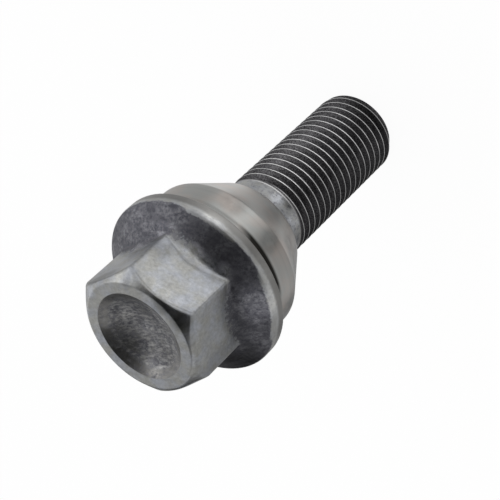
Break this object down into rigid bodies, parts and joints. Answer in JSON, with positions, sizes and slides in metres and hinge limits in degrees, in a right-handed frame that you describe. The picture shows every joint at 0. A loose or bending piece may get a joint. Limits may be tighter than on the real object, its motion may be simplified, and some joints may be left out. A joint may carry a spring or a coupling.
{
  "type": "wheel bolt",
  "caption": "Wheel bolt with a hexagon head, a dished end face, a forged flange and a loose conical seat collar that spins on the shank.",
  "frame": {"origin": "on the bolt's axis, at the middle of the flat thread tip that it stands on", "axes": "+Z along the bolt's axis, from the thread tip up to the head; +X through a corner of the hexagon"},
  "size_m": [0.029, 0.029, 0.059],
  "materials": {
    "bolt_steel": "zinc flake over forged steel, satin grey",
    "collar_steel": "turned steel, satin, slightly warm grey"
  },
  "bodies": {
    "bolt": {"bolt": "bolt_steel"},
    "collar": {"seat_collar": "collar_steel"}
  },
  "joints": [
    {"name": "collar_spin", "type": "hinge", "parent": "bolt", "child": "collar", "pos_m": [0, 0, 0.0379], "axis": [0, 0, 1], "continuous": true}
  ]
}
